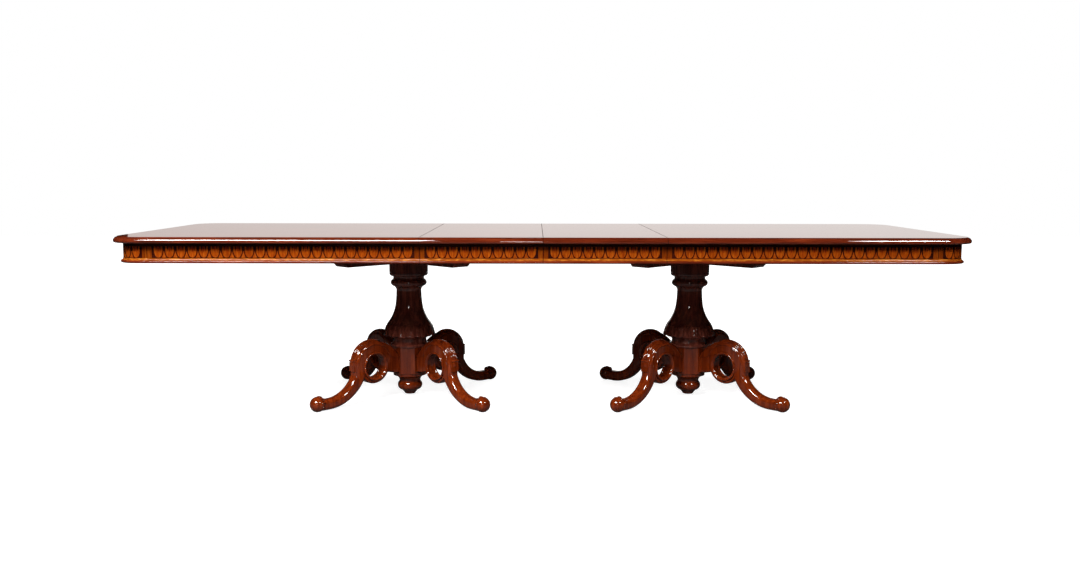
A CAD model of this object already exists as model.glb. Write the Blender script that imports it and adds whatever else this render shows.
"""Looks of the double pedestal dining table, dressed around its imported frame.

Lengths are in metres and angles in radians, unless a name ends in _mm or _px. The front edge of the
table is on the -Y side, the length runs along X and +Z is up.
"""

import logging
import math
from dataclasses import dataclass, field
from enum import Enum
from typing import Optional

import bpy
from mathutils import Matrix, Vector


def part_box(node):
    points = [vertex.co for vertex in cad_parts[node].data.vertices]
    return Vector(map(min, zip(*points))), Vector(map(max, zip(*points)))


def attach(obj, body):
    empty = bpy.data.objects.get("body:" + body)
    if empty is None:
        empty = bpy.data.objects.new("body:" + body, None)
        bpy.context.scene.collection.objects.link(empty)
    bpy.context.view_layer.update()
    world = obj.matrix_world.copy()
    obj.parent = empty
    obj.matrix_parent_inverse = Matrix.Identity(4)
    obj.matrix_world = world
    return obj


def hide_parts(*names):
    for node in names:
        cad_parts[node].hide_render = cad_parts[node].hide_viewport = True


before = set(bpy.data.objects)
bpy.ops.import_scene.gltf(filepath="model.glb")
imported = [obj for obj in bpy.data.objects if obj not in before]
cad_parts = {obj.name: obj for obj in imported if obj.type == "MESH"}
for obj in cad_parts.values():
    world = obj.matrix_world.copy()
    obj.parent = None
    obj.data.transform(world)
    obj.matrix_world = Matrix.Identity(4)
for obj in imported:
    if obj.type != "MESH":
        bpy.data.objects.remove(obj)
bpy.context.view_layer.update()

MM = 0.001
RIGHT = Vector((1.0, 0.0, 0.0))
UP = Vector((0.0, 0.0, 1.0))
# Unit vector from which a rod's first section is turned. No rod runs along it.
ROD_SIDE = Vector((0.36, 0.48, 0.8))
# Place along a face, foot and head of one upright edge of a thin piece.
Slice = tuple[float, float, float]
log = logging.getLogger("dining_table")


def linear(colour: str) -> tuple[float, float, float, float]:
    """Turn an sRGB hex colour into linear light.

    Args:
        colour: Six hex digits after a hash sign.

    Returns:
        Red, green, blue and an alpha of one.
    """
    channels = [int(colour[place:place + 2], 16) / 255 for place in (1, 3, 5)]
    curve = [c / 12.92 if c <= 0.04045 else ((c + 0.055) / 1.055) ** 2.4 for c in channels]
    return (curve[0], curve[1], curve[2], 1.0)


def add_node(
    tree: bpy.types.NodeTree, kind: str, inputs: Optional[dict] = None, **settings: object,
) -> bpy.types.Node:
    """Add a node with its settings, and set or link its inputs.

    Args:
        tree: Node tree of a material or of the world.
        kind: Type name of the node.
        inputs: Socket names or places, each with a value or with the output socket that feeds it.
        settings: Attributes of the node itself.

    Returns:
        The new node.
    """
    node = tree.nodes.new(kind)
    for name, value in settings.items():
        setattr(node, name, value)
    for key, value in (inputs or {}).items():
        if isinstance(value, bpy.types.NodeSocket):
            tree.links.new(value, node.inputs[key])
        else:
            node.inputs[key].default_value = value
    return node


def ramp_stops(node: bpy.types.Node, stops: list[tuple[float, str]]) -> None:
    """Set the colours of a colour ramp.

    Args:
        node: Colour ramp node.
        stops: Place from 0 to 1 and hex colour of each stop, in order.
    """
    elements = node.color_ramp.elements
    while len(elements) < len(stops):
        elements.new(1.0)
    for element, (place, colour) in zip(elements, stops):
        element.position = place
        element.color = linear(colour)


class Grain(Enum):
    """Axis of the table along which a piece's fibres run."""

    LENGTH = 0
    WIDTH = 1
    HEIGHT = 2


@dataclass(frozen=True)
class PolishedWood:
    """Stained wood under a rubbed varnish.

    Broad soft streaks carry the colour, fine dark pores run along the fibres, and the varnish over
    them gives the crisp reflections. Real pores are about 0.2 mm wide and wouldn't show, so they are
    drawn coarser.
    """

    name: str
    dark: str
    middle: str
    light: str
    grain: Grain
    streak_mm: float = 22.0
    pore_mm: float = 1.6
    stretch: float = 14.0
    roughness: float = 0.42
    varnish: float = 1.0
    varnish_roughness: float = 0.09
    bare_gloss: float = 0.0
    gloss_spread: float = 0.1
    pore_shade: float = 0.72
    pore_depth_mm: float = 0.03

    def fibre_scale(self, width_mm: float) -> tuple[float, float, float]:
        """Work out a pattern's repeats per metre, drawn out along the fibres.

        Args:
            width_mm: Width of one repeat across the fibres.

        Returns:
            Repeats along X, Y and Z.
        """
        across = 1.0 / (width_mm * MM)
        scale = [across, across, across]
        scale[self.grain.value] = across / self.stretch
        return (scale[0], scale[1], scale[2])

    def material(self) -> bpy.types.Material:
        """Build the node material.

        Returns:
            A material named after the wood.
        """
        material = bpy.data.materials.new(self.name)
        material.use_nodes = True
        tree = material.node_tree
        tree.nodes.clear()
        place = add_node(tree, "ShaderNodeTexCoord").outputs["Object"]
        broad = add_node(tree, "ShaderNodeMapping", {
            "Vector": place, "Scale": self.fibre_scale(self.streak_mm),
        })
        fine = add_node(tree, "ShaderNodeMapping", {
            "Vector": place, "Scale": self.fibre_scale(self.pore_mm),
        })
        streaks = add_node(tree, "ShaderNodeTexNoise", {
            "Vector": broad.outputs["Vector"], "Scale": 1.0, "Detail": 4.0, "Roughness": 0.55,
            "Distortion": 0.6,
        })
        pores = add_node(tree, "ShaderNodeTexNoise", {
            "Vector": fine.outputs["Vector"], "Scale": 1.0, "Detail": 2.0, "Roughness": 0.6,
        })
        tone = add_node(tree, "ShaderNodeValToRGB", {"Fac": streaks.outputs["Fac"]})
        ramp_stops(tone, [(0.3, self.dark), (0.5, self.middle), (0.7, self.light)])
        shade = add_node(tree, "ShaderNodeMapRange", {
            "Value": pores.outputs["Fac"], "From Min": 0.3, "From Max": 0.55,
            "To Min": self.pore_shade, "To Max": 1.0,
        })
        stain = add_node(tree, "ShaderNodeMix", {
            "Factor": 1.0, "A": tone.outputs["Color"], "B": shade.outputs["Result"],
        }, data_type="RGBA", blend_type="MULTIPLY")
        gloss = add_node(tree, "ShaderNodeMapRange", {
            "Value": streaks.outputs["Fac"], "From Min": 0.3, "From Max": 0.7,
            "To Min": self.roughness * (1 - self.gloss_spread),
            "To Max": self.roughness * (1 + self.gloss_spread),
        })
        relief = add_node(tree, "ShaderNodeBump", {
            "Height": pores.outputs["Fac"], "Strength": 0.25, "Distance": self.pore_depth_mm * MM,
        })
        surface = add_node(tree, "ShaderNodeBsdfPrincipled", {
            "Base Color": stain.outputs["Result"], "Roughness": gloss.outputs["Result"],
            "Normal": relief.outputs["Normal"], "IOR": 1.5, "Specular IOR Level": self.bare_gloss,
            "Coat Weight": self.varnish, "Coat Roughness": self.varnish_roughness, "Coat IOR": 1.5,
        })
        add_node(tree, "ShaderNodeOutputMaterial", {"Surface": surface.outputs["BSDF"]})
        return material


@dataclass(frozen=True)
class BareMetal:
    """Uncoated fitting with fine turning marks, drawn coarser than real ones, and a little tarnish."""

    name: str
    clean: str
    tarnished: str
    roughness: float
    dulling: float = 1.3
    cloud_mm: float = 9.0
    mark_mm: float = 0.6
    mark_depth_mm: float = 0.05

    def material(self) -> bpy.types.Material:
        """Build the node material.

        Returns:
            A material named after the metal.
        """
        material = bpy.data.materials.new(self.name)
        material.use_nodes = True
        tree = material.node_tree
        tree.nodes.clear()
        place = add_node(tree, "ShaderNodeTexCoord").outputs["Object"]
        clouds = add_node(tree, "ShaderNodeTexNoise", {
            "Vector": place, "Scale": 1.0 / (self.cloud_mm * MM), "Detail": 3.0,
        })
        marks = add_node(tree, "ShaderNodeTexNoise", {
            "Vector": place, "Scale": 1.0 / (self.mark_mm * MM), "Detail": 1.0,
        })
        tone = add_node(tree, "ShaderNodeValToRGB", {"Fac": clouds.outputs["Fac"]})
        ramp_stops(tone, [(0.35, self.tarnished), (0.6, self.clean)])
        worn = add_node(tree, "ShaderNodeMapRange", {
            "Value": clouds.outputs["Fac"], "From Min": 0.3, "From Max": 0.7,
            "To Min": self.roughness * self.dulling, "To Max": self.roughness,
        })
        relief = add_node(tree, "ShaderNodeBump", {
            "Height": marks.outputs["Fac"], "Strength": 0.2, "Distance": self.mark_depth_mm * MM,
        })
        surface = add_node(tree, "ShaderNodeBsdfPrincipled", {
            "Base Color": tone.outputs["Color"], "Metallic": 1.0, "Roughness": worn.outputs["Result"],
            "Normal": relief.outputs["Normal"],
        })
        add_node(tree, "ShaderNodeOutputMaterial", {"Surface": surface.outputs["BSDF"]})
        return material


# The flat of the top: reddish brown veneer that mostly shows the room in its polish.
TOP_VENEER = PolishedWood(
    "mahogany_veneer_french_polished", "#4c1e11", "#602918", "#743722", Grain.LENGTH, streak_mm=34.0,
    pore_mm=2.2, varnish_roughness=0.05,
)
# Edge mouldings: solid red-brown wood whose round nose takes long bright reflections.
MOULDING = PolishedWood(
    "mahogany_moulding_polished", "#3e1206", "#561c0b", "#6a2811", Grain.LENGTH, streak_mm=14.0,
    varnish_roughness=0.04,
)
# Beads on the foot of the aprons: the same wood with a softer sheen.
BEAD = PolishedWood(
    "mahogany_bead_satin", "#4a1607", "#64220d", "#7a3014", Grain.LENGTH, streak_mm=14.0, varnish=0.4,
    varnish_roughness=0.12,
)
# Apron ground: warm amber veneer with a silky, lightly streaked face.
APRON_VENEER = PolishedWood(
    "satinwood_veneer_amber", "#541d02", "#6a2a04", "#803b09", Grain.HEIGHT, streak_mm=9.0, stretch=8.0,
    varnish=0.3, varnish_roughness=0.1,
)
# Columns, arms and the tips of the finials: almost black-brown stain, with red only where light strikes.
DARK_TURNING = PolishedWood(
    "mahogany_turned_dark_stain", "#48201a", "#602c22", "#7c3c2e", Grain.HEIGHT, streak_mm=16.0,
    varnish_roughness=0.08,
)
# Carved collars: the same stain, a shade paler than on the turned wood.
DARK_CARVING = PolishedWood(
    "mahogany_carved_dark_stain", "#4c221a", "#663024", "#824232", Grain.HEIGHT, streak_mm=12.0,
    varnish_roughness=0.08,
)
# Legs, hubs and finials: the same wood with a thinner stain, so that it glows red-brown.
RED_CARVING = PolishedWood(
    "mahogany_carved_red_stain", "#501805", "#662207", "#7c2e0b", Grain.HEIGHT, streak_mm=14.0,
    varnish_roughness=0.06,
)
# Hidden rails, runners and blocks: pale planed wood with no polish.
PLANED_BEECH = PolishedWood(
    "beech_planed", "#b98a5c", "#c99a6a", "#d8ad7e", Grain.LENGTH, streak_mm=18.0, roughness=0.6, varnish=0.0,
    bare_gloss=0.3,
)
# Rods, nuts and screws: dull grey metal with darker patches.
ZINC_STEEL = BareMetal("steel_zinc_plated", "#b4b6b8", "#8a8c8e", 0.34)
# Catches and studs: yellow metal gone a little brown.
OLD_BRASS = BareMetal("brass_cast_dull", "#c79a4a", "#8f6a2c", 0.3)
# Ground of the inlaid band, its head and its lines: the darkest wood on the apron.
INLAY_GROUND = PolishedWood(
    "rosewood_inlay_ground", "#1c0603", "#280a04", "#361206", Grain.LENGTH, streak_mm=8.0, varnish=0.3,
    varnish_roughness=0.2,
)
# Leaves of the band: amber veneer, a little warmer than the ground of the apron.
INLAY_LEAF = PolishedWood(
    "satinwood_inlay_leaf", "#6c2503", "#863706", "#9c490d", Grain.HEIGHT, streak_mm=7.0, stretch=6.0,
    varnish=0.3, varnish_roughness=0.1,
)
# Tongues in the mouths of the leaves: shaded with hot sand to a red-brown.
INLAY_TONGUE = PolishedWood(
    "sycamore_inlay_sand_shaded", "#581a06", "#702408", "#86320c", Grain.HEIGHT, streak_mm=6.0, stretch=6.0,
    varnish=0.4, varnish_roughness=0.14,
)
# Cove over the bead: the palest wood on the table, golden under the varnish, in short flecks.
GOLDEN_COVE = PolishedWood(
    "boxwood_cove_golden", "#6c2c06", "#86420d", "#b46e24", Grain.LENGTH, streak_mm=9.0, stretch=4.0,
    varnish=0.15, varnish_roughness=0.1,
)
# Bare edges of the boards at the seams: dull and dark, they read as a thin line.
BARE_EDGE = PolishedWood(
    "mahogany_bare_edge", "#150906", "#1c0c08", "#26110b", Grain.WIDTH, streak_mm=10.0, roughness=0.95,
    varnish=0.0,
)


class Finishes:
    """Keeps one material for each finish."""

    def __init__(self) -> None:
        """Start with no materials made."""
        self.made: dict[str, bpy.types.Material] = {}

    def get(self, finish: PolishedWood | BareMetal) -> bpy.types.Material:
        """Look up a finish's material, made when it is first asked for.

        Args:
            finish: Wood or metal.

        Returns:
            Its material.
        """
        if finish.name not in self.made:
            self.made[finish.name] = finish.material()
        return self.made[finish.name]

    def dress(self, node: str, finish: PolishedWood | BareMetal) -> None:
        """Give a node of the frame its finish.

        Args:
            node: Name of the node.
            finish: Finish that covers all of it.
        """
        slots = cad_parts[node].data.materials
        slots.clear()
        slots.append(self.get(finish))
        log.info("dressed %s in %s", node, finish.name)

    def dress_part(self, node: str, finish: PolishedWood, rise: float, above: bool) -> None:
        """Give a dressed node a second finish above or below a level.

        Args:
            node: Name of the node.
            finish: Second finish.
            rise: Height of the level over the node's foot.
            above: Whether the second finish lies above the level.
        """
        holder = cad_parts[node]
        holder.data.materials.append(self.get(finish))
        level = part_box(node)[0].z + rise
        for polygon in holder.data.polygons:
            over = (holder.matrix_world @ polygon.center).z > level
            polygon.material_index = int(over == above)
        log.info("dressed a part of %s in %s", node, finish.name)


@dataclass(frozen=True)
class FacePath:
    """Face of an apron in plan, from left to right as seen from outside.

    It runs straight, turns a quarter to the left and runs straight again. A face with no bend is all lead.
    """

    name: str
    body: str
    start: Vector
    along: Vector
    lead: float
    bend_radius: float = 0.0
    tail: float = 0.0

    @property
    def length(self) -> float:
        """Length along the face."""
        return self.lead + self.bend_radius * math.pi / 2 + self.tail

    def spot(self, across: float, height: float, proud: float) -> Vector:
        """Find a point on the face or near it.

        Args:
            across: Place along the face, from its left end.
            height: Height over the floor.
            proud: Distance out of the face.

        Returns:
            The point.
        """
        out = self.along.cross(UP)
        past = across - self.lead
        if past <= 0 or not self.bend_radius:
            return self.start + self.along * across + out * proud + UP * height
        turn = min(past / self.bend_radius, math.pi / 2)
        rest = past - self.bend_radius * turn
        centre = self.start + self.along * self.lead - out * self.bend_radius
        reach = Matrix.Rotation(turn, 3, "Z") @ (out * (self.bend_radius + proud) + self.along * rest)
        return centre + reach + UP * height

    def stations(self, left: float, right: float, step: float) -> list[float]:
        """Return places from left to right, close enough to follow the bend."""
        count = math.ceil((right - left) / step) if self.bend_radius else 1
        return [left + (right - left) * k / count for k in range(count + 1)]


class PieceMesh:
    """Collects the faces of one piece before it becomes an object."""

    def __init__(self) -> None:
        """Start empty."""
        self.points: list[Vector] = []
        self.faces: list[tuple[int, ...]] = []
        self.finish_places: list[int] = []

    def add(self, points: list[Vector], faces: list[tuple[int, ...]], finish_place: int) -> None:
        """Add points, and faces that count from the first of them.

        Args:
            points: New points.
            faces: Places of each face's corners among the new points.
            finish_place: Index of their finish in the piece's material list.
        """
        first = len(self.points)
        self.points.extend(points)
        self.faces.extend(tuple(first + corner for corner in face) for face in faces)
        self.finish_places.extend([finish_place] * len(faces))

    def prism(self, outline: list[Vector], out: Vector, depth: float, finish_place: int) -> None:
        """Add a closed flat piece.

        Args:
            outline: Corners of its outer face, counter-clockwise seen from outside.
            out: Unit vector towards the outside.
            depth: Thickness behind the outer face.
            finish_place: Index of its finish in the piece's material list.
        """
        count = len(outline)
        faces = [tuple(range(count)), tuple(reversed(range(count, 2 * count)))]
        for index in range(count):
            after = (index + 1) % count
            faces.append((after, index, count + index, count + after))
        self.add(outline + [point - out * depth for point in outline], faces, finish_place)

    def slab(
        self, path: FacePath, slices: list[Slice], proud: float, depth: float, finish_place: int,
    ) -> None:
        """Add a closed thin piece that follows a face.

        Args:
            path: Face that it lies on.
            slices: Place along the face, foot and head of each upright edge, from left to right.
            proud: How far its outside stands out of the face.
            depth: How far its back lies behind the face.
            finish_place: Index of its finish in the piece's material list.
        """
        points = []
        for across, foot, head in slices:
            for height, stand in ((foot, proud), (head, proud), (foot, -depth), (head, -depth)):
                points.append(path.spot(across, height, stand))
        faces = [(0, 1, 3, 2)]
        for near in range(0, 4 * len(slices) - 4, 4):
            far = near + 4
            faces.append((near, far, far + 1, near + 1))
            faces.append((near + 2, near + 3, far + 3, far + 2))
            faces.append((near, near + 2, far + 2, far))
            faces.append((near + 1, far + 1, far + 3, near + 3))
        last = 4 * len(slices) - 4
        faces.append((last, last + 2, last + 3, last + 1))
        self.add(points, faces, finish_place)

    def rod(self, spine: list[Vector], radii: list[float], finish_place: int, sides: int = 8) -> None:
        """Add a round rod with closed ends.

        Args:
            spine: Points along its middle.
            radii: Its radius at each point.
            finish_place: Index of its finish in the piece's material list.
            sides: Edges of its section.
        """
        points = []
        side = ROD_SIDE
        for index, (spot, radius) in enumerate(zip(spine, radii)):
            ahead = (spine[min(index + 1, len(spine) - 1)] - spine[max(index - 1, 0)]).normalized()
            side = (side - ahead * side.dot(ahead)).normalized()
            over = ahead.cross(side)
            for step in range(sides):
                angle = 2 * math.pi * step / sides
                points.append(spot + (side * math.cos(angle) + over * math.sin(angle)) * radius)
        faces = [tuple(reversed(range(sides)))]
        for ring in range(0, sides * (len(spine) - 1), sides):
            for step in range(sides):
                after = (step + 1) % sides
                faces.append((ring + step, ring + after, ring + sides + after, ring + sides + step))
        last = sides * (len(spine) - 1)
        faces.append(tuple(range(last, last + sides)))
        self.add(points, faces, finish_place)

    def skin(self, rings: list[list[Vector]], finish_place: int) -> None:
        """Add a closed skin through rings of points, of which the last joins the first.

        Args:
            rings: From the top down the outside and back up the inside, counter-clockwise from above.
            finish_place: Index of its finish in the piece's material list.
        """
        count = len(rings[0])
        faces = []
        for row in range(len(rings)):
            here, below = row * count, (row + 1) % len(rings) * count
            for step in range(count):
                after = (step + 1) % count
                faces.append((here + step, below + step, below + after, here + after))
        self.add([point for ring in rings for point in ring], faces, finish_place)

    def make(
        self, name: str, body: str, materials: list[bpy.types.Material], smooth: bool = False,
    ) -> bpy.types.Object:
        """Make the object and set it on its body.

        Args:
            name: Name of the piece.
            body: Body that it moves with.
            materials: Materials in the order of the finish places.
            smooth: Whether its faces are shaded as one round surface.

        Returns:
            The new object.
        """
        mesh = bpy.data.meshes.new(name)
        mesh.from_pydata(self.points, [], self.faces)
        mesh.polygons.foreach_set("material_index", self.finish_places)
        mesh.polygons.foreach_set("use_smooth", [smooth] * len(self.faces))
        for material in materials:
            mesh.materials.append(material)
        mesh.validate()
        piece = bpy.data.objects.new(name, mesh)
        bpy.context.scene.collection.objects.link(piece)
        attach(piece, body)
        log.info("made %s with %d faces", name, len(self.faces))
        return piece


class InlayWood(Enum):
    """Woods of the inlaid band, by their place in the piece's material list."""

    GROUND = 0
    LEAF = 1
    TONGUE = 2


@dataclass
class InlaidApron:
    """Aprons with their band of inlaid leaves between plain stiles."""

    finishes: Finishes
    corner_tail: float = 33 * MM
    stile: float = 20 * MM
    band_foot: float = 692.5 * MM
    band_height: float = 47.5 * MM
    head_strip: float = 13.8 * MM
    foot_line: float = 2 * MM
    pitch: float = 47 * MM
    corner_pitch: float = 41 * MM
    end_bar: float = 3.5 * MM
    joint_line: float = 1.4 * MM
    leaf_share: float = 0.75
    shoulder_share: float = 0.6
    spandrel_share: float = 0.4
    spandrel_rise: float = 0.6
    spandrel_curve: float = 0.7
    tongue_share: float = 0.26
    tongue_drop: float = 0.5
    stroke_share: float = 0.09
    stroke_drop: float = 0.42
    layer: float = 0.15 * MM
    depth: float = 0.6 * MM
    tip: float = 0.1 * MM
    step: float = 4 * MM
    steps: int = 6

    def sweep(self, middle: float, half: float) -> list[tuple[float, float]]:
        """Return places across a motif, each with its share from -1 to 1."""
        shares = [math.sin(math.pi / 2 * k / self.steps) for k in range(-self.steps, self.steps + 1)]
        return [(middle + half * share, share) for share in shares]

    def leaf(self, middle: float, pitch: float) -> list[Slice]:
        """Return the slices of a leaf, with a round foot and upright sides.

        Args:
            middle: Place of its middle along the face.
            pitch: Distance from leaf to leaf.

        Returns:
            Slices from left to right, with heights over the band's foot.
        """
        rise = self.band_height * self.shoulder_share
        slices = []
        for across, share in self.sweep(middle, pitch * self.leaf_share / 2):
            foot = self.foot_line + rise * (1 - math.sqrt(max(1 - share * share, 0.0)))
            slices.append((across, foot, self.band_height))
        return slices

    def spandrel(self, middle: float, pitch: float) -> list[Slice]:
        """Return the slices of the pointed arch between two leaves.

        Args:
            middle: Place of its middle along the face.
            pitch: Distance from leaf to leaf.

        Returns:
            Slices from left to right, with heights over the band's foot.
        """
        rise = self.band_height * self.spandrel_rise
        slices = []
        for across, share in self.sweep(middle, pitch * self.spandrel_share / 2):
            head = self.foot_line + self.tip + rise * (1 - abs(share) ** self.spandrel_curve)
            slices.append((across, self.foot_line, head))
        return slices

    def hanging(self, middle: float, half: float, drop: float) -> list[Slice]:
        """Return the slices of a pointed petal that hangs from the head of the band.

        Args:
            middle: Place of its middle along the face.
            half: Half of its width.
            drop: Its length, as a share of the band's height.

        Returns:
            Slices from left to right, with heights over the band's foot.
        """
        slices = []
        for across, share in self.sweep(middle, half):
            foot = self.band_height * (1 - drop * math.sqrt(1 - abs(share))) - self.tip
            slices.append((across, foot, self.band_height))
        return slices

    def paths(self) -> list[FacePath]:
        """Return the face of every apron, read from the frame's own boxes.

        Returns:
            Five faces on each end section and two on each leaf.
        """
        found = []
        for side, turn in (("left", 1), ("right", -1)):
            low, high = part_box(f"{side}_long_aprons")
            end_low, end_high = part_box(f"{side}_end_apron")
            tip, joint, seam = (end_low.x, low.x, high.x) if turn > 0 else (end_high.x, high.x, low.x)
            face, end_face = high.y * turn, end_high.y * turn
            bend = (self.corner_tail, abs(joint - tip) - self.corner_tail, self.corner_tail)
            along, inward = Vector((turn, 0, 0)), Vector((0, turn, 0))
            first, last = ("back", "front") if turn > 0 else ("front", "back")
            long_run, end_run = abs(seam - joint), 2 * abs(end_face)
            body = f"{side}_end"
            found.append(FacePath(f"{body}_{first}", body, Vector((seam, face, 0)), -along, long_run))
            found.append(FacePath(f"{body}_{first}_corner", body, Vector((joint, face, 0)), -along, *bend))
            found.append(FacePath(f"{body}_end", body, Vector((tip, end_face, 0)), -inward, end_run))
            found.append(FacePath(f"{body}_{last}_corner", body, Vector((tip, -end_face, 0)), -inward, *bend))
            found.append(FacePath(f"{body}_{last}", body, Vector((joint, -face, 0)), along, long_run))
            low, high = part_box(f"{side}_leaf_aprons")
            body = f"{side}_leaf"
            found.append(FacePath(f"{body}_front", body, Vector((low.x, low.y, 0)), RIGHT, high.x - low.x))
            found.append(FacePath(f"{body}_back", body, Vector((high.x, high.y, 0)), -RIGHT, high.x - low.x))
        return found

    def inlay(self, path: FacePath) -> None:
        """Lay the band, its head strip and the joint lines on one face.

        Args:
            path: Face that carries them.
        """
        piece = PieceMesh()
        left, right = self.stile, path.length - self.stile

        def lay(slices: list[Slice], layers: int, wood: InlayWood) -> None:
            """Lay one shape on the face, a number of layers proud."""
            raised = [(across, self.band_foot + foot, self.band_foot + head) for across, foot, head in slices]
            piece.slab(path, raised, self.layer * layers, self.depth, wood.value)

        def lay_strip(start: float, end: float, foot: float, head: float) -> None:
            """Lay a dark strip with level edges."""
            edges = path.stations(start, end, self.step)
            lay([(across, foot, head) for across in edges], 1, InlayWood.GROUND)

        lay_strip(left, right, 0.0, self.band_height - self.tip)
        lay_strip(0.0, path.length, self.band_height, self.band_height + self.head_strip)
        lay_strip(0.0, self.joint_line, 0.0, self.band_height - self.tip)
        lay_strip(path.length - self.joint_line, path.length, 0.0, self.band_height - self.tip)
        room = right - left - 2 * self.end_bar
        count = max(1, round(room / (self.corner_pitch if path.bend_radius else self.pitch)))
        pitch = room / count
        for index in range(count):
            middle = left + self.end_bar + (index + 0.5) * pitch
            lay(self.leaf(middle, pitch), 2, InlayWood.LEAF)
            tongue = self.hanging(middle, pitch * self.tongue_share / 2, self.tongue_drop)
            lay(tongue, 3, InlayWood.TONGUE)
            for side in (-1, 1):
                beside = middle + side * pitch * (self.tongue_share + self.stroke_share) / 2
                stroke = self.hanging(beside, pitch * self.stroke_share / 2, self.stroke_drop)
                lay(stroke, 3, InlayWood.GROUND)
        for index in range(1, count):
            lay(self.spandrel(left + self.end_bar + index * pitch, pitch), 2, InlayWood.LEAF)
        woods = [self.finishes.get(finish) for finish in (INLAY_GROUND, INLAY_LEAF, INLAY_TONGUE)]
        piece.make(f"{path.name}_inlay", path.body, woods)

    def build(self) -> None:
        """Dress the aprons and lay every band."""
        for side in ("left", "right"):
            for name in ("long_aprons", "corner_aprons", "end_apron", "leaf_aprons"):
                self.finishes.dress(f"{side}_{name}", APRON_VENEER)
        for path in self.paths():
            self.inlay(path)


@dataclass
class TableTop:
    """Panels, edge mouldings and beads of the four sections of the top."""

    finishes: Finishes
    bead_height: float = 12 * MM
    seam_width: float = 1.6 * MM
    seam_proud: float = 0.2 * MM
    gap_fill: float = 0.5 * MM
    seam_tolerance: float = 0.05 * MM

    def section(self, node: str, seam: float, row: int) -> list[Vector]:
        """Return the outline of a moulding's end at a seam.

        Args:
            node: Name of the moulding's node.
            seam: Place of its end along the table.
            row: -1 for the moulding in front, 1 for the one behind.

        Returns:
            Points counter-clockwise as seen from +X, a little outside the wood.
        """
        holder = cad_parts[node]
        spots = [holder.matrix_world @ vertex.co for vertex in holder.data.vertices]
        spots = [spot for spot in spots if abs(spot.x - seam) < self.seam_tolerance and spot.y * row > 0]
        middle = sum(spots, Vector()) / len(spots)
        spots.sort(key=lambda spot: math.atan2(spot.z - middle.z, spot.y - middle.y))
        return [spot + (spot - middle).normalized() * self.seam_proud for spot in spots]

    def seam(self, side: str, end: int) -> None:
        """Mark the seam at one end of a leaf with the bare edge of its boards, which fills most of the gap.

        Args:
            side: Which leaf.
            end: -1 for its left end, 1 for its right end.
        """
        piece = PieceMesh()
        low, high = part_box(f"{side}_leaf_panel")
        edge = low.x if end < 0 else high.x
        outer = edge + (self.seam_width if end < 0 else self.gap_fill)
        depth = self.seam_width + self.gap_fill
        for node in ("leaf_lippings", "leaf_beads", "leaf_aprons"):
            for row in (-1, 1):
                outline = self.section(f"{side}_{node}", edge, row)
                piece.prism([Vector((outer, spot.y, spot.z)) for spot in outline], RIGHT, depth, 0)
        head = high.z + self.seam_proud
        rim = [(low.y, low.z), (high.y, low.z), (high.y, head), (low.y, head)]
        piece.prism([Vector((outer, y, z)) for y, z in rim], RIGHT, depth, 0)
        name = f"{side}_leaf_{'left' if end < 0 else 'right'}_seam"
        piece.make(name, f"{side}_leaf", [self.finishes.get(BARE_EDGE)])

    def build(self) -> None:
        """Dress every panel and moulding, and mark the three seams."""
        for side in ("left", "right"):
            for name in ("end_panel", "leaf_panel"):
                self.finishes.dress(f"{side}_{name}", TOP_VENEER)
            for name in ("end_lipping", "leaf_lippings"):
                self.finishes.dress(f"{side}_{name}", MOULDING)
            for name in ("end_bead", "leaf_beads"):
                self.finishes.dress(f"{side}_{name}", BEAD)
                self.finishes.dress_part(f"{side}_{name}", GOLDEN_COVE, self.bead_height, above=True)
        for side, end in (("left", -1), ("left", 1), ("right", 1)):
            self.seam(side, end)


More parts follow.
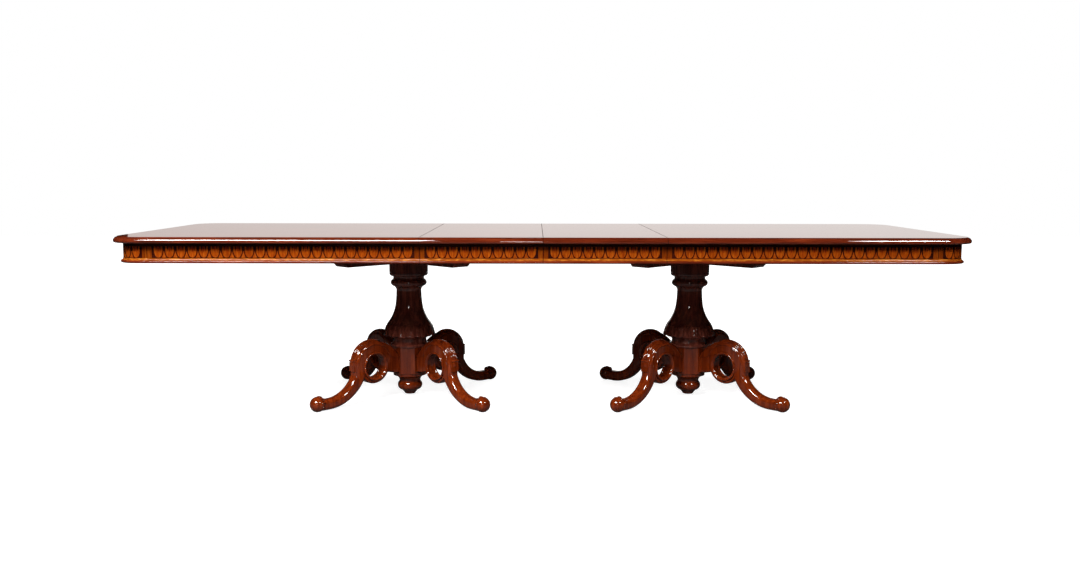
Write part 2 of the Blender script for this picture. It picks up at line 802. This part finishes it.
@dataclass
class CarvedCollar:
    """Skirt of carved leaves and reeds round the foot of a column, over a turned ring."""

    finishes: Finishes
    side: str
    around: int = 320
    features: int = 16
    rows: int = 14
    ring_steps: int = 8
    top_radius: float = 103.5 * MM
    top_inset: float = 4 * MM
    brim_radius: float = 118.5 * MM
    brim_height: float = 58 * MM
    lip_inset: float = 7 * MM
    lip_relief: float = 0.5
    hollow_inset: float = 14 * MM
    hollow_drop: float = 1 * MM
    neck_radius: float = 75 * MM
    waist_height: float = 36 * MM
    waist_swell: float = 3 * MM
    foot_swell: float = 5 * MM
    ring_root: float = 84 * MM
    ring_bulge: float = 6.5 * MM
    ring_height: float = 17 * MM
    ring_gap: float = 2 * MM
    scallop: float = 5 * MM
    scallop_rate: float = 4.0
    relief: float = 5 * MM
    relief_inset: float = 2 * MM
    relief_rate: float = 6.0
    reed_taper: float = 0.25
    midrib_width: float = 0.14
    vein_count: float = 2.6
    vein_slant: float = 1.1
    leaf_crest: float = 0.55
    vein_crest: float = 0.25

    def carving(self, turn: float, rise: float) -> float:
        """Return how far the carving stands out.

        Args:
            turn: Angle round the collar.
            rise: Share of the skirt's height, from the brim up.

        Returns:
            Share of the relief from 0 in the cuts to 1 on the crests.
        """
        feature, across = divmod(turn * self.features / (2 * math.pi), 1.0)
        across = 2 * across - 1
        if feature % 2:
            reed = abs(2 * abs(across) - 1)
            return math.sqrt(max(1 - reed * reed, 0.0)) * (1 - self.reed_taper * rise)
        midrib = math.exp(-((across / self.midrib_width) ** 2))
        wave = 2 * math.pi * (self.vein_count * rise - self.vein_slant * abs(across))
        crest = self.leaf_crest + self.vein_crest * (0.5 + 0.5 * math.cos(wave))
        return max(math.sqrt(max(1 - across * across, 0.0)) * crest, midrib)

    def ring(
        self, centre: Vector, height: float, reach: float, carved: float = 0.0, drop: float = 0.0,
    ) -> list[Vector]:
        """Return one ring of points.

        Args:
            centre: Foot of the collar's axis.
            height: Height over the foot.
            reach: Radius where nothing is carved.
            carved: How much of the relief shows here, from 0 to 1.
            drop: How much of the scallop shows here, from 0 to 1.

        Returns:
            Points counter-clockwise from above.
        """
        points = []
        span = self.height(centre) - self.brim_height
        rise = max((height - self.brim_height) / span, 0.0)
        for step in range(self.around):
            turn = 2 * math.pi * step / self.around
            radius = reach + self.relief * carved * self.carving(turn, rise)
            lobe = abs(math.sin(turn * self.features / 2))
            level = height - self.scallop * drop * lobe
            points.append(centre + Vector((radius * math.cos(turn), radius * math.sin(turn), level)))
        return points

    def height(self, centre: Vector) -> float:
        """Return the height of the collar that the frame holds."""
        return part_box(f"{self.side}_carved_collar")[1].z - centre.z

    def bore(self, centre: Vector) -> float:
        """Measure the hole that the column stands in.

        Args:
            centre: Foot of the collar's axis.

        Returns:
            Its radius.
        """
        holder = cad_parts[f"{self.side}_carved_collar"]
        spots = [holder.matrix_world @ vertex.co - centre for vertex in holder.data.vertices]
        return min(math.hypot(spot.x, spot.y) for spot in spots)

    def build(self) -> None:
        """Carve the collar in place of the plain one."""
        node = f"{self.side}_carved_collar"
        low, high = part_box(node)
        centre = Vector(((low.x + high.x) / 2, (low.y + high.y) / 2, low.z))
        top = high.z - low.z
        rings = [self.ring(centre, top, self.top_radius - self.top_inset)]
        for k in range(self.rows + 1):
            share = k / self.rows
            reach = self.top_radius + (self.brim_radius - self.top_radius) * share - self.relief_inset
            level = top - (top - self.brim_height) * share
            carved = min(1.0, share * self.relief_rate)
            drop = max(0.0, 1 - (1 - share) * self.scallop_rate)
            rings.append(self.ring(centre, level, reach, carved, drop))
        lip, hollow = self.brim_radius - self.lip_inset, self.brim_radius - self.hollow_inset
        rings.append(self.ring(centre, self.brim_height, lip, self.lip_relief, 1.0))
        rings.append(self.ring(centre, self.brim_height - self.hollow_drop, hollow))
        rings.append(self.ring(centre, self.waist_height, self.neck_radius + self.waist_swell))
        rings.append(self.ring(centre, self.ring_height + self.ring_gap, self.neck_radius + self.foot_swell))
        for k in range(self.ring_steps + 1):
            angle = math.pi * k / self.ring_steps
            level = self.ring_height / 2 * (1 + math.cos(angle))
            rings.append(self.ring(centre, level, self.ring_root + self.ring_bulge * math.sin(angle)))
        bore = self.bore(centre)
        rings += [self.ring(centre, 0.0, bore), self.ring(centre, top, bore)]
        piece = PieceMesh()
        piece.skin(rings, 0)
        woods = [self.finishes.get(DARK_CARVING)]
        collar = piece.make(f"{node}_carving", "underframe", woods, smooth=True)
        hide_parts(node)


@dataclass
class LegCarving:
    """Raised lines of one leg: beads of its scroll, veins of its knee leaf and petals of its ball foot."""

    finishes: Finishes
    axis: Vector
    leg: str
    turn: float
    half_thickness: float = 27 * MM
    crown_reach: float = 220 * MM
    crown_height: float = 178 * MM
    crown_radius: float = 90 * MM
    crown_start: float = math.radians(4)
    crown_sweep: float = math.radians(160)
    crown_bead: float = 3.6 * MM
    crown_tip: float = 0.25
    crown_steps: int = 44
    eye_reach: float = 213 * MM
    eye_height: float = 167 * MM
    eye_radius: float = 61.5 * MM
    eye_bead: float = 4.5 * MM
    eye_steps: int = 66
    leaf_radius: float = 110 * MM
    leaf_bow: float = 34.25 * MM
    leaf_half: float = 22 * MM
    leaf_root: float = 0.55
    leaf_swell: float = 0.4
    leaf_taper: float = 1.15
    first_angle: float = math.radians(17)
    last_angle: float = math.radians(118)
    veins: int = 7
    vein_radius: float = 3 * MM
    vein_tip: float = 0.45
    vein_steps: int = 22
    side_vein_cut: float = 0.12
    foot_reach: float = 511 * MM
    ball_radius: float = 34 * MM
    petals: int = 7
    petal_radius: float = 4.2 * MM
    petal_tip: float = 0.3
    petal_steps: int = 6
    petal_tilt: float = 80 * MM
    fan_start: float = math.radians(-25)
    fan_sweep: float = math.radians(230)
    petal_start: float = math.radians(36)
    petal_sweep: float = math.radians(46)
    swell_start: float = 4 / 17
    swell_end: float = 16 / 17

    def spot(self, reach: float, across: float, height: float) -> Vector:
        """Return a point from its reach, sideways place and height in the leg's own plane."""
        along = Vector((math.cos(self.turn), math.sin(self.turn), 0))
        return self.axis + along * reach + UP.cross(along) * across + UP * height

    def arc(
        self, reach: float, height: float, radius: float, across: float, turns: list[float],
    ) -> list[Vector]:
        """Return points on a circle that lies in the leg's own plane.

        Args:
            reach: Distance of its middle from the pedestal's axis.
            height: Height of its middle.
            radius: Its radius.
            across: Sideways place of the circle.
            turns: Angles of the points, from the outward side up.

        Returns:
            One point for each angle.
        """
        return [
            self.spot(reach + radius * math.cos(turn), across, height + radius * math.sin(turn))
            for turn in turns
        ]

    def on_leaf(self, angle: float, across: float) -> Vector:
        """Find a point on the face of the knee leaf.

        Args:
            angle: Angle round the middle of the crown, from the outward side up.
            across: Sideways place.

        Returns:
            The point.
        """
        radius = self.leaf_radius - self.leaf_bow + math.sqrt(self.leaf_bow ** 2 - across ** 2)
        return self.arc(self.crown_reach, self.crown_height, radius, across, [angle])[0]

    def eye_beads(self, piece: PieceMesh) -> None:
        """Lay a bead round the eye on both faces of the leg.

        Args:
            piece: Mesh that takes the beads.
        """
        turns = [2 * math.pi * k / self.eye_steps for k in range(self.eye_steps + 1)]
        for across in (-self.half_thickness, self.half_thickness):
            spine = self.arc(self.eye_reach, self.eye_height, self.eye_radius, across, turns)
            piece.rod(spine, [self.eye_bead] * len(spine), 0)

    def crown_beads(self, piece: PieceMesh) -> None:
        """Lay a bead along the crown of the scroll on both faces of the leg, thin at its ends.

        Args:
            piece: Mesh that takes the beads.
        """
        shares = [k / self.crown_steps for k in range(self.crown_steps + 1)]
        turns = [self.crown_start + self.crown_sweep * share for share in shares]
        swells = [math.sqrt(math.sin(math.pi * share)) for share in shares]
        radii = [self.crown_bead * (self.crown_tip + (1 - self.crown_tip) * swell) for swell in swells]
        for across in (-self.half_thickness, self.half_thickness):
            spine = self.arc(self.crown_reach, self.crown_height, self.crown_radius, across, turns)
            piece.rod(spine, radii, 0)

    def foot_petals(self, piece: PieceMesh) -> None:
        """Lay pointed petals over the back of the ball foot, where the leg runs into it.

        Args:
            piece: Mesh that takes the petals.
        """
        ball = self.spot(self.foot_reach, 0.0, self.ball_radius)
        inward = (self.spot(0.0, 0.0, self.ball_radius + self.petal_tilt) - ball).normalized()
        sideways = self.spot(0.0, 1.0, 0.0) - self.spot(0.0, 0.0, 0.0)
        upward = sideways.cross(inward)
        for petal in range(self.petals):
            roll = self.fan_start + self.fan_sweep * petal / (self.petals - 1)
            aside = sideways * math.cos(roll) + upward * math.sin(roll)
            spine, radii = [], []
            for k in range(self.petal_steps + 1):
                share = k / self.petal_steps
                slant = self.petal_start + self.petal_sweep * share
                swell = math.sin(math.pi * (self.swell_start + (self.swell_end - self.swell_start) * share))
                spine.append(ball + (inward * math.cos(slant) + aside * math.sin(slant)) * self.ball_radius)
                radii.append(self.petal_radius * (self.petal_tip + (1 - self.petal_tip) * swell))
            piece.rod(spine, radii, 0)

    def leaf_veins(self, piece: PieceMesh) -> None:
        """Lay the veins of the knee leaf, which spread from its root and close again at its lip.

        Args:
            piece: Mesh that takes the veins.
        """
        for vein in range(self.veins):
            aside = 2 * vein / (self.veins - 1) - 1
            sweep = (self.last_angle - self.first_angle) * (1 - self.side_vein_cut * aside * aside)
            spine, radii = [], []
            for k in range(self.vein_steps + 1):
                share = k / self.vein_steps
                swell = math.sin(math.pi * min(share * self.leaf_taper, 1.0))
                across = aside * self.leaf_half * (self.leaf_root + self.leaf_swell * swell)
                spine.append(self.on_leaf(self.first_angle + sweep * share, across))
                thickness = self.vein_tip + (1 - self.vein_tip) * math.sin(math.pi * share)
                radii.append(self.vein_radius * thickness)
            piece.rod(spine, radii, 0)

    def build(self) -> None:
        """Lay every raised line of the leg as one piece."""
        piece = PieceMesh()
        self.eye_beads(piece)
        self.crown_beads(piece)
        self.foot_petals(piece)
        self.leaf_veins(piece)
        woods = [self.finishes.get(RED_CARVING)]
        piece.make(f"{self.leg}_veins", "underframe", woods, smooth=True)


@dataclass
class Pedestal:
    """One turned pedestal on four scroll legs."""

    finishes: Finishes
    side: str
    legs: dict[str, float] = field(default_factory=lambda: {
        "front_left": math.radians(225), "front_right": math.radians(315),
        "back_left": math.radians(135), "back_right": math.radians(45),
    })
    tip_height: float = 19 * MM

    def build(self) -> None:
        """Dress the turned pieces and carve the collar and the legs."""
        for name in ("column", "carved_collar", "cross_arms"):
            self.finishes.dress(f"{self.side}_{name}", DARK_TURNING)
        for name in ("hub", "drop_finial"):
            self.finishes.dress(f"{self.side}_{name}", RED_CARVING)
        self.finishes.dress_part(f"{self.side}_drop_finial", DARK_TURNING, self.tip_height, above=False)
        CarvedCollar(self.finishes, self.side).build()
        low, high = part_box(f"{self.side}_column")
        axis = Vector(((low.x + high.x) / 2, (low.y + high.y) / 2, 0))
        for leg, turn in self.legs.items():
            self.finishes.dress(f"{self.side}_leg_{leg}", RED_CARVING)
            LegCarving(self.finishes, axis, f"{self.side}_leg_{leg}", turn).build()


@dataclass
class Underframe:
    """Rails, runners, blocks and fittings under the top."""

    finishes: Finishes
    wooden: tuple[str, ...] = (
        "front_rail", "back_rail", "rail_spreaders", "left_runners", "right_runners", "left_end_blocks",
        "right_end_blocks", "left_leaf_blocks", "right_leaf_blocks",
    )
    steel: tuple[str, ...] = ("tie_rods", "tie_rod_nuts", "rail_screws")
    studs: tuple[str, ...] = ("left_end", "left_leaf", "right_leaf", "right_end")

    def build(self) -> None:
        """Dress everything that hides under the top."""
        for node in self.wooden:
            self.finishes.dress(node, PLANED_BEECH)
        for node in self.steel:
            self.finishes.dress(node, ZINC_STEEL)
        for carrier in self.studs:
            self.finishes.dress(f"{carrier}_catch_studs", OLD_BRASS)
        for seam in ("left", "middle", "right"):
            for row in ("front", "back"):
                self.finishes.dress(f"{seam}_catch_{row}", OLD_BRASS)


@dataclass(frozen=True)
class SoftBox:
    """Rectangular studio lamp, aimed at a point.

    One that is not mirrored only fills the shadows, and one that does not fill only shows in the polish.
    """

    name: str
    place: tuple[float, float, float]
    aim: tuple[float, float, float]
    width: float
    height: float
    watts: float
    mirrored: bool = True
    fills: bool = True

    def light(self) -> None:
        """Hang the lamp."""
        lamp = bpy.data.lights.new(self.name, "AREA")
        lamp.shape = "RECTANGLE"
        lamp.size = self.width
        lamp.size_y = self.height
        lamp.energy = self.watts
        holder = bpy.data.objects.new(self.name, lamp)
        holder.location = self.place
        holder.rotation_euler = (Vector(self.aim) - Vector(self.place)).to_track_quat("-Z", "Y").to_euler()
        holder.visible_glossy = self.mirrored
        holder.visible_diffuse = self.fills
        bpy.context.scene.collection.objects.link(holder)


@dataclass
class Studio:
    """Camera, lamps, pale floor and white surroundings."""

    camera_place: tuple[float, float, float] = (-0.032, -4.746, 1.036)
    pitch_down: float = 0.1134
    yaw_right: float = 0.0045
    roll: float = 0.0017
    focal_px: float = 1020.3
    image_width_px: float = 1080.0
    sensor_mm: float = 36.0
    floor_half: float = 12.0
    floor_colours: tuple[str, str] = ("#f4f3f2", "#f8f7f6")
    floor_shade: str = "#5e5c5a"
    floor_glow: float = 1.5
    mottle_per_metre: float = 3.0
    pedestal_reach: float = 0.657
    shadow_near: float = 0.35
    shadow_far: float = 1.0
    shadow_wash: float = 0.58
    ambient_colour: str = "#3c3a39"
    dark_room_colour: str = "#0e0a09"
    backdrop_colours: tuple[str, str, str] = ("#dcd3cf", "#f0ebe8", "#f3eeeb")
    backdrop_left: float = -0.37
    backdrop_right: float = 0.395
    backdrop_top: float = 0.2
    backdrop_half: float = 0.42
    lamps: list[SoftBox] = field(default_factory=lambda: [
        SoftBox("left_key", (-1.83, -3.0, 3.1), (-0.7, 0.0, 0.4), 2.0, 1.2, 300.0, mirrored=False),
        SoftBox("right_key", (2.7, -3.0, 3.1), (0.9, 0.0, 0.4), 0.65, 1.2, 120.0, mirrored=False),
        SoftBox("left_strip", (-1.8, -2.92, 3.03), (-0.7, 0.0, 0.4), 2.1, 0.5, 420.0, fills=False),
        SoftBox("right_strip", (2.65, -2.92, 3.03), (0.9, 0.0, 0.4), 0.7, 0.5, 140.0, fills=False),
        SoftBox("overhead_bank", (0.0, 0.6, 3.2), (0.0, 0.0, 0.5), 2.5, 1.2, 60.0, mirrored=False),
        SoftBox("camera_side", (-0.15, -4.95, 1.75), (0.0, 0.0, 0.4), 0.35, 0.25, 12.0),
        SoftBox("back_fill", (0.0, 3.8, 2.3), (0.0, 0.0, 0.4), 3.0, 1.2, 40.0, mirrored=False),
    ])

    def camera(self) -> None:
        """Set the camera where the photograph was taken."""
        ahead = Vector((
            math.sin(self.yaw_right) * math.cos(self.pitch_down),
            math.cos(self.yaw_right) * math.cos(self.pitch_down),
            -math.sin(self.pitch_down),
        ))
        level = Vector((math.cos(self.yaw_right), -math.sin(self.yaw_right), 0.0))
        over = level.cross(ahead)
        right = level * math.cos(self.roll) + over * math.sin(self.roll)
        upright = over * math.cos(self.roll) - level * math.sin(self.roll)
        lens = bpy.data.cameras.new("photo_camera")
        lens.sensor_width = self.sensor_mm
        lens.lens = self.focal_px / self.image_width_px * self.sensor_mm
        holder = bpy.data.objects.new("photo_camera", lens)
        turn = Matrix((right, upright, -ahead)).transposed().to_4x4()
        holder.matrix_world = Matrix.Translation(self.camera_place) @ turn
        bpy.context.scene.collection.objects.link(holder)
        bpy.context.scene.camera = holder

    def floor(self) -> None:
        """Lay the pale floor: it keeps each pedestal's shadow, fades to white and is clear from below."""
        half = self.floor_half
        mesh = bpy.data.meshes.new("floor")
        corners = [(-half, -half, 0), (half, -half, 0), (half, half, 0), (-half, half, 0)]
        mesh.from_pydata(corners, [], [(0, 1, 2, 3)])
        material = bpy.data.materials.new("painted_studio_floor")
        material.use_nodes = True
        tree = material.node_tree
        tree.nodes.clear()
        place = add_node(tree, "ShaderNodeTexCoord").outputs["Object"]
        mottle = add_node(tree, "ShaderNodeTexNoise", {
            "Vector": place, "Scale": self.mottle_per_metre, "Detail": 2.0,
        })
        tone = add_node(tree, "ShaderNodeValToRGB", {"Fac": mottle.outputs["Fac"]})
        ramp_stops(tone, list(zip((0.3, 0.7), self.floor_colours)))
        path = add_node(tree, "ShaderNodeLightPath")
        seen = add_node(tree, "ShaderNodeMix", {
            "Factor": path.outputs["Is Camera Ray"], "A": linear(self.floor_shade),
            "B": tone.outputs["Color"],
        }, data_type="RGBA")
        paint = add_node(tree, "ShaderNodeBsdfPrincipled", {
            "Base Color": seen.outputs["Result"], "Roughness": 0.8, "Specular IOR Level": 0.2,
        })
        glow = add_node(tree, "ShaderNodeEmission", {"Color": linear("#ffffff"), "Strength": self.floor_glow})
        spot = add_node(tree, "ShaderNodeSeparateXYZ", {0: place})
        aside = add_node(tree, "ShaderNodeMath", {0: spot.outputs["X"]}, operation="ABSOLUTE")
        off_axis = add_node(tree, "ShaderNodeMath", {
            0: aside.outputs["Value"], 1: self.pedestal_reach,
        }, operation="SUBTRACT")
        from_pedestal = add_node(tree, "ShaderNodeCombineXYZ", {
            0: off_axis.outputs["Value"], 1: spot.outputs["Y"],
        })
        away = add_node(tree, "ShaderNodeVectorMath", {
            0: from_pedestal.outputs["Vector"],
        }, operation="LENGTH")
        fade = add_node(tree, "ShaderNodeMapRange", {
            "Value": away.outputs["Value"], "From Min": self.shadow_near, "From Max": self.shadow_far,
            "To Min": self.shadow_wash, "To Max": 1.0,
        }, interpolation_type="SMOOTHSTEP")
        share = add_node(tree, "ShaderNodeMath", {
            0: path.outputs["Is Camera Ray"], 1: fade.outputs["Result"],
        }, operation="MULTIPLY")
        blend = add_node(tree, "ShaderNodeMixShader", {
            0: share.outputs["Value"], 1: paint.outputs["BSDF"], 2: glow.outputs["Emission"],
        })
        below = add_node(tree, "ShaderNodeNewGeometry").outputs["Backfacing"]
        clear = add_node(tree, "ShaderNodeBsdfTransparent").outputs["BSDF"]
        open_below = add_node(tree, "ShaderNodeMixShader", {
            0: below, 1: blend.outputs["Shader"], 2: clear,
        })
        add_node(tree, "ShaderNodeOutputMaterial", {"Surface": open_below.outputs["Shader"]})
        mesh.materials.append(material)
        plane = bpy.data.objects.new("floor", mesh)
        bpy.context.scene.collection.objects.link(plane)

    def surroundings(self) -> None:
        """Light the room softly: polish mirrors a pale backdrop behind the table and a dark room in front."""
        world = bpy.data.worlds.new("studio_room")
        bpy.context.scene.world = world
        world.use_nodes = True
        tree = world.node_tree
        tree.nodes.clear()
        ray = add_node(tree, "ShaderNodeTexCoord").outputs["Generated"]
        facing = add_node(tree, "ShaderNodeSeparateXYZ", {0: ray})
        hung = add_node(tree, "ShaderNodeMath", {0: facing.outputs["Y"], 1: 0.0}, operation="GREATER_THAN")
        for axis, limit, inside in (
            ("X", self.backdrop_left, "GREATER_THAN"), ("X", self.backdrop_right, "LESS_THAN"),
            ("Z", self.backdrop_top, "LESS_THAN"),
        ):
            within = add_node(tree, "ShaderNodeMath", {0: facing.outputs[axis], 1: limit}, operation=inside)
            hung = add_node(tree, "ShaderNodeMath", {
                0: hung.outputs["Value"], 1: within.outputs["Value"],
            }, operation="MULTIPLY")
        sideways = add_node(tree, "ShaderNodeMapRange", {
            "Value": facing.outputs["X"], "From Min": -self.backdrop_half, "From Max": self.backdrop_half,
            "To Min": 0.0, "To Max": 1.0,
        })
        backdrop = add_node(tree, "ShaderNodeValToRGB", {"Fac": sideways.outputs["Result"]})
        ramp_stops(backdrop, list(zip((0.0, 0.5, 1.0), self.backdrop_colours)))
        mirrored = add_node(tree, "ShaderNodeMix", {
            "Factor": hung.outputs["Value"], "A": linear(self.dark_room_colour),
            "B": backdrop.outputs["Color"],
        }, data_type="RGBA")
        path = add_node(tree, "ShaderNodeLightPath")
        polish = add_node(tree, "ShaderNodeMath", {
            0: path.outputs["Is Glossy Ray"], 1: path.outputs["Is Transmission Ray"],
        }, operation="MAXIMUM")
        lit = add_node(tree, "ShaderNodeMix", {
            "Factor": polish.outputs["Value"], "A": linear(self.ambient_colour),
            "B": mirrored.outputs["Result"],
        }, data_type="RGBA")
        tone = add_node(tree, "ShaderNodeMix", {
            "Factor": path.outputs["Is Camera Ray"], "A": lit.outputs["Result"], "B": linear("#ffffff"),
        }, data_type="RGBA")
        shine = add_node(tree, "ShaderNodeBackground", {"Color": tone.outputs["Result"], "Strength": 1.0})
        add_node(tree, "ShaderNodeOutputWorld", {"Surface": shine.outputs["Background"]})

    def build(self) -> None:
        """Set up everything round the table."""
        bpy.context.scene.view_settings.view_transform = "Standard"
        self.camera()
        self.floor()
        self.surroundings()
        for lamp in self.lamps:
            lamp.light()


def main() -> None:
    """Build the studio and dress the table, part by part."""
    logging.basicConfig(level=logging.INFO, format="%(name)s: %(message)s")
    finishes = Finishes()
    Studio().build()
    TableTop(finishes).build()
    InlaidApron(finishes).build()
    for side in ("left", "right"):
        Pedestal(finishes, side).build()
    Underframe(finishes).build()


if __name__ == "__main__":
    main()
